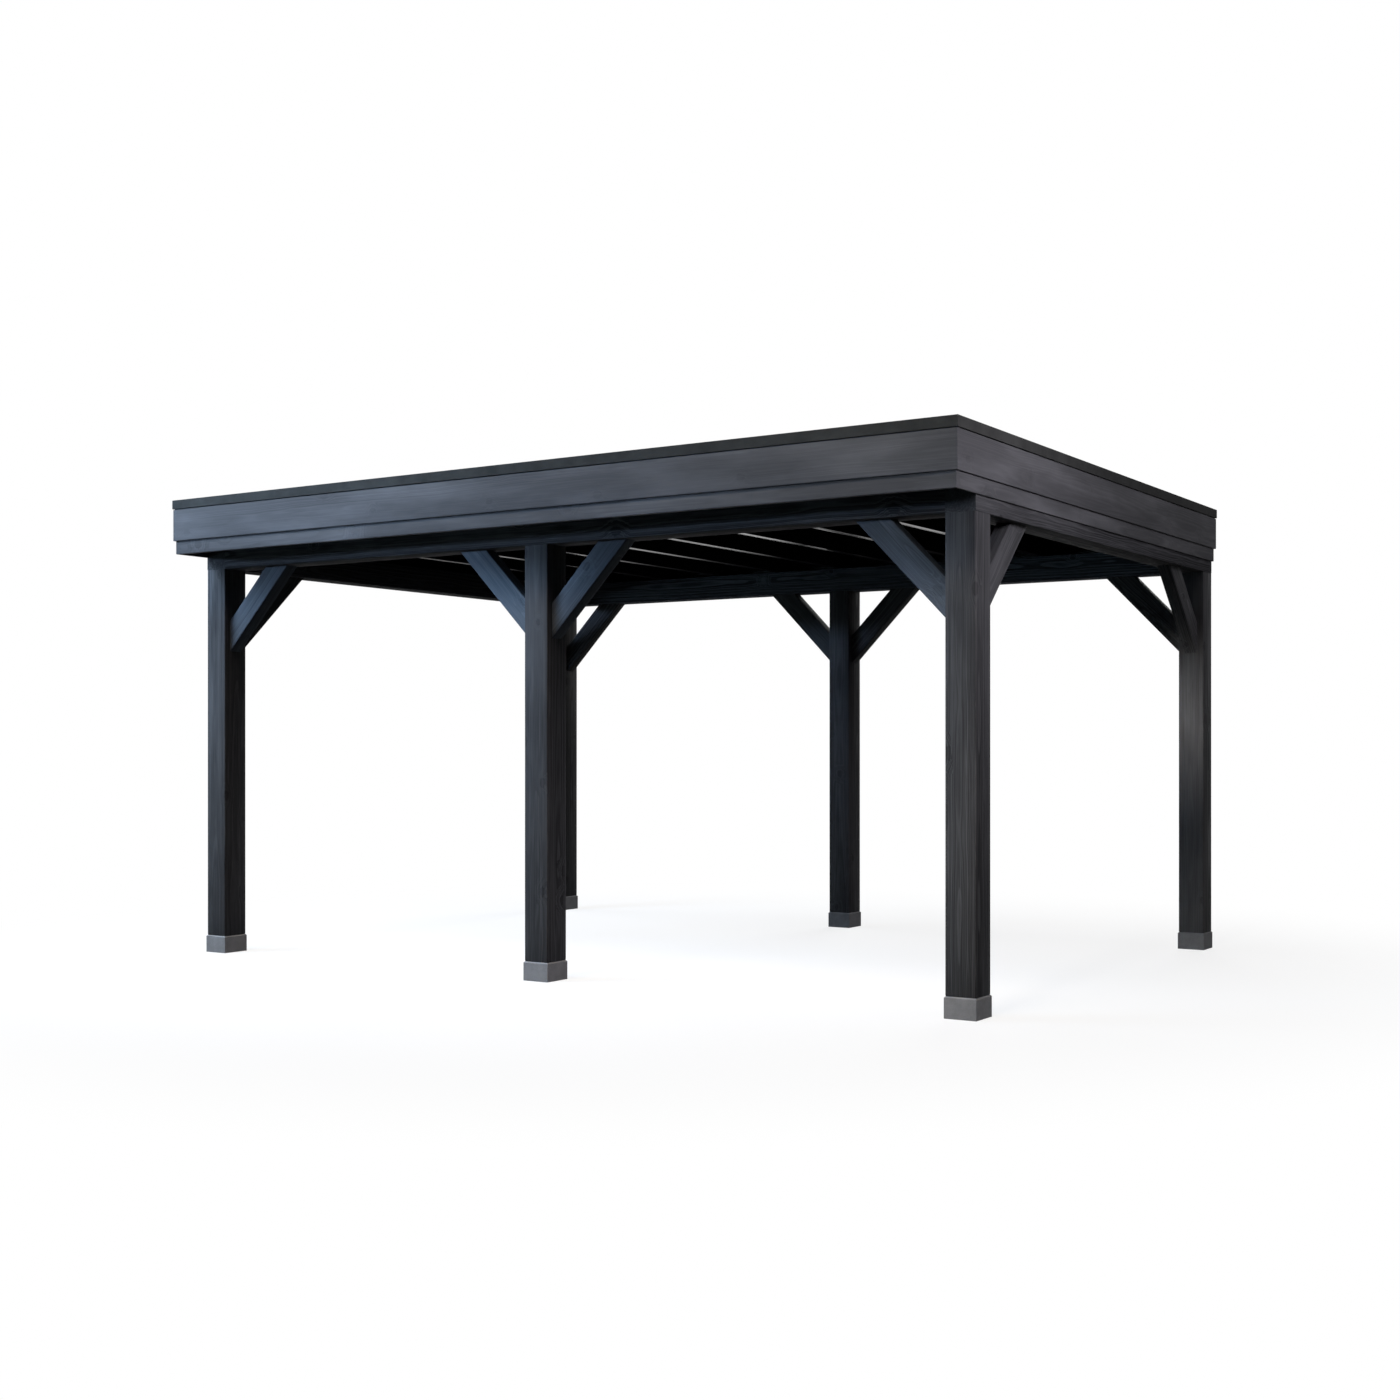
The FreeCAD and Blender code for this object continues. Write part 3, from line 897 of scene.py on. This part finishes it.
class CANOPY_OT_stage(Operator):
    """Set up the floor, the soft light and the camera"""

    bl_idname = "canopy.stage"
    bl_label = "Studio"

    def execute(self, context):
        studio = context.scene.canopy_studio
        self.floor()
        self.world(context.scene, studio)
        self.left_lamps(studio)
        self.front_lamps(studio)
        self.right_lamps(studio)
        self.far_lamps(studio)
        self.camera(context.scene, studio)
        context.scene.view_settings.view_transform = "Standard"
        return {"FINISHED"}

    def left_lamps(self, studio):
        """Cool lamps over the front left corner."""
        self.soft_box("left_corner_light", (-5.5, -4.0, 4.8), (-2.0, -1.2, 1.2), (3.0, 2.0),
                      studio.left_power * 0.71, (0.64, 0.80, 1.0), spread=90)
        self.soft_box("left_light", (-4.0, -5.0, 6.0), (-1.0, -1.0, 1.9), (3.0, 3.0),
                      studio.left_power * 0.29, (0.40, 0.64, 1.0), spread=55)
        self.soft_box("far_left_band", (-10.0, -5.0, 3.1), (-1.0, 0.0, 2.2), (7.0, 0.5),
                      studio.left_band_power * 0.88, (0.47, 0.66, 1.0), spread=20)
        self.soft_box("low_left_band", (-9.0, -9.0, 1.0), (0.0, 0.0, 2.2), (6.0, 0.8),
                      studio.left_band_power * 0.12, (0.60, 0.86, 1.0), spread=25)

    def front_lamps(self, studio):
        """Lamps for the fascia and the posts of the front, and two on the right-hand front corner."""
        self.soft_box("front_light", (0.0, -8.0, 10.5), (0.0, -1.5, 0.8), (6.0, 2.0),
                      studio.front_power * 0.62, (1.0, 0.91, 0.94), spread=50)
        self.soft_box("high_front_light", (0.2, -7.2, 11.0), (0.2, -1.5, 0.6), (6.0, 1.6),
                      studio.front_power * 0.32, (1.0, 0.83, 0.58), spread=22)
        self.soft_box("post_light", (3.2, -9.5, 3.5), (2.4, -1.5, 0.85), (1.0, 1.0),
                      studio.front_power * 0.047, (1.0, 0.97, 0.94), spread=14)
        self.soft_box("front_corner_light", (3.4, -9.0, 4.5), (2.2, -1.7, 2.4), (1.5, 1.5),
                      studio.front_power * 0.028, (1.0, 0.98, 0.97), spread=16)

    def right_lamps(self, studio):
        """Lamps square to the right side, and a narrow one on the back right post."""
        self.soft_box("right_low_light", (6.0, -1.45, 1.1), (2.5, -1.43, 0.05), (0.6, 0.6),
                      studio.right_power * 0.003, (0.9, 0.95, 1.0), spread=14)
        self.soft_box("right_light", (5.3, -1.6, 3.3), (2.5, -1.4, 2.3), (1.5, 1.0),
                      studio.right_power * 0.46, (0.92, 0.89, 1.0), spread=66)
        self.soft_box("right_corner_light", (6.2, -1.3, 3.6), (2.4, -0.8, 2.2), (2.5, 2.5),
                      studio.right_power * 0.17, (0.60, 0.60, 1.0))
        self.soft_box("right_side_light", (7.0, 1.5, 5.0), (2.5, 1.0, 2.3), (2.0, 2.0),
                      studio.right_power * 0.25, (0.92, 0.90, 1.0), spread=50)
        self.soft_box("right_back_light", (2.46, -0.7, 1.95), (2.42, 1.55, 1.36), (0.2, 0.2),
                      studio.right_back_power, (1.0, 0.95, 0.92), spread=26)

    def far_lamps(self, studio):
        """Large lamps for the sides that the camera doesn't see."""
        self.soft_box("left_side_light", (-10.0, 1.5, 4.0), (-2.4, 0.0, 1.4), (5.0, 4.0),
                      studio.side_power, (1.0, 1.0, 1.0))
        self.soft_box("back_light", (-1.0, 10.0, 4.0), (0.0, 1.7, 1.4), (5.0, 4.0),
                      studio.back_power, (1.0, 1.0, 1.0))
        self.soft_box("overhead_light", (0.0, 0.0, 8.0), (0.0, 0.0, 0.0), (4.6, 3.0),
                      studio.top_power, (1.0, 1.0, 1.0))

    def floor(self):
        """A pale floor with a light shadow, white further out, and little bounce on the object."""
        reach = 60.0
        data = bpy.data.meshes.new("studio_floor")
        corners = [(-reach, -reach, 0), (reach, -reach, 0), (reach, reach, 0), (-reach, reach, 0)]
        data.from_pydata(corners, [], [(0, 1, 2, 3)])
        n = Nodes(bpy.data.materials.new("floor"))
        seen = n.seen()
        n.feed(n.shader.inputs["Base Color"], n.colours(seen, (0.04, 0.04, 0.04, 1), (0.95, 0.95, 0.95, 1)))
        n.shader.inputs["Roughness"].default_value = 0.9
        n.shader.inputs["Specular IOR Level"].default_value = 0.0
        far = n.length(n.add("TexCoord").outputs["Object"])
        glow = n.math("MULTIPLY", seen, n.range(far, 2.6, 5.0, 0.80, 1.0, smooth=True))
        white = n.add("Emission", {"Color": (1.0, 1.0, 1.0, 1.0), "Strength": 1.0})
        both = n.add("MixShader", {0: glow, 1: n.shader.outputs[0], 2: white.outputs[0]})
        n.feed(n.tree.nodes["Material Output"].inputs["Surface"], both.outputs[0])
        data.materials.append(n.owner)
        floor = bpy.data.objects.new("studio_floor", data)
        bpy.context.scene.collection.objects.link(floor)

    def world(self, scene, studio):
        """Even light from all round, white to the camera and in reflections."""
        scene.world = bpy.data.worlds.new("studio")
        n = Nodes(scene.world, "Background")
        n.feed(n.shader.inputs["Color"], (1.0, 1.0, 1.0, 1.0))
        n.feed(n.shader.inputs["Strength"], n.range(n.seen(), 0.0, 1.0, studio.sky_strength, 1.0))

    def soft_box(self, name, place, target, size, power, colour, spread=180):
        """A large rectangular lamp that faces a point, with its beam held to a spread in degrees."""
        lamp = bpy.data.lights.new(name, "AREA")
        lamp.shape = "RECTANGLE"
        lamp.size, lamp.size_y = size
        lamp.energy = power
        lamp.color = colour
        lamp.spread = math.radians(spread)
        holder = bpy.data.objects.new(name, lamp)
        holder.location = place
        aim = Vector(target) - Vector(place)
        holder.rotation_euler = aim.to_track_quat("-Z", "Y").to_euler()
        holder.visible_camera = False
        bpy.context.scene.collection.objects.link(holder)

    def camera(self, scene, studio):
        """A level camera at head height, in front of the right-hand corner."""
        lens = bpy.data.cameras.new("camera")
        lens.sensor_width = 36.0
        lens.lens = studio.lens
        lens.shift_x, lens.shift_y = studio.lens_shift
        lens.clip_end = 200.0
        camera = bpy.data.objects.new("camera", lens)
        camera.location = studio.camera_place
        camera.rotation_euler = (math.radians(90), 0.0, studio.camera_turn)
        scene.collection.objects.link(camera)
        scene.camera = camera


OPERATORS = (
    CANOPY_OT_posts, CANOPY_OT_beams, CANOPY_OT_braces, CANOPY_OT_rafters, CANOPY_OT_roof_boards,
    CANOPY_OT_roof_felt, CANOPY_OT_fascia, CANOPY_OT_edge_trim, CANOPY_OT_feet, CANOPY_OT_stage,
)


class CANOPY_PT_sidebar(Panel):
    """Lists the canopy's pieces and their settings"""

    bl_idname = "CANOPY_PT_sidebar"
    bl_label = "Patio canopy"
    bl_space_type = "VIEW_3D"
    bl_region_type = "UI"
    bl_category = "Canopy"

    def draw(self, context):
        for name, settings in SETTINGS.items():
            box = self.layout.box()
            group = getattr(context.scene, name)
            for prop in settings.__annotations__:
                box.prop(group, prop)
        for operator in OPERATORS:
            self.layout.operator(operator.bl_idname)


SETTINGS = {
    "canopy_timber": TimberSettings,
    "canopy_roof": RoofSettings,
    "canopy_foot": FootSettings,
    "canopy_studio": StudioSettings,
}


def register():
    """Adds the settings, the operators and the panel."""
    for name, settings in SETTINGS.items():
        bpy.utils.register_class(settings)
        setattr(bpy.types.Scene, name, PointerProperty(type=settings))
    for operator in OPERATORS:
        bpy.utils.register_class(operator)
    bpy.utils.register_class(CANOPY_PT_sidebar)


def unregister():
    """Takes them away again, in the opposite order."""
    bpy.utils.unregister_class(CANOPY_PT_sidebar)
    for operator in reversed(OPERATORS):
        bpy.utils.unregister_class(operator)
    for name, settings in reversed(list(SETTINGS.items())):
        delattr(bpy.types.Scene, name)
        bpy.utils.unregister_class(settings)


def main():
    """Makes every piece and the studio."""
    register()
    bpy.ops.canopy.posts()
    bpy.ops.canopy.beams()
    bpy.ops.canopy.braces()
    bpy.ops.canopy.rafters()
    bpy.ops.canopy.roof_boards()
    bpy.ops.canopy.roof_felt()
    bpy.ops.canopy.fascia()
    bpy.ops.canopy.edge_trim()
    bpy.ops.canopy.feet()
    bpy.ops.canopy.stage()


if __name__ == "__main__":
    main()
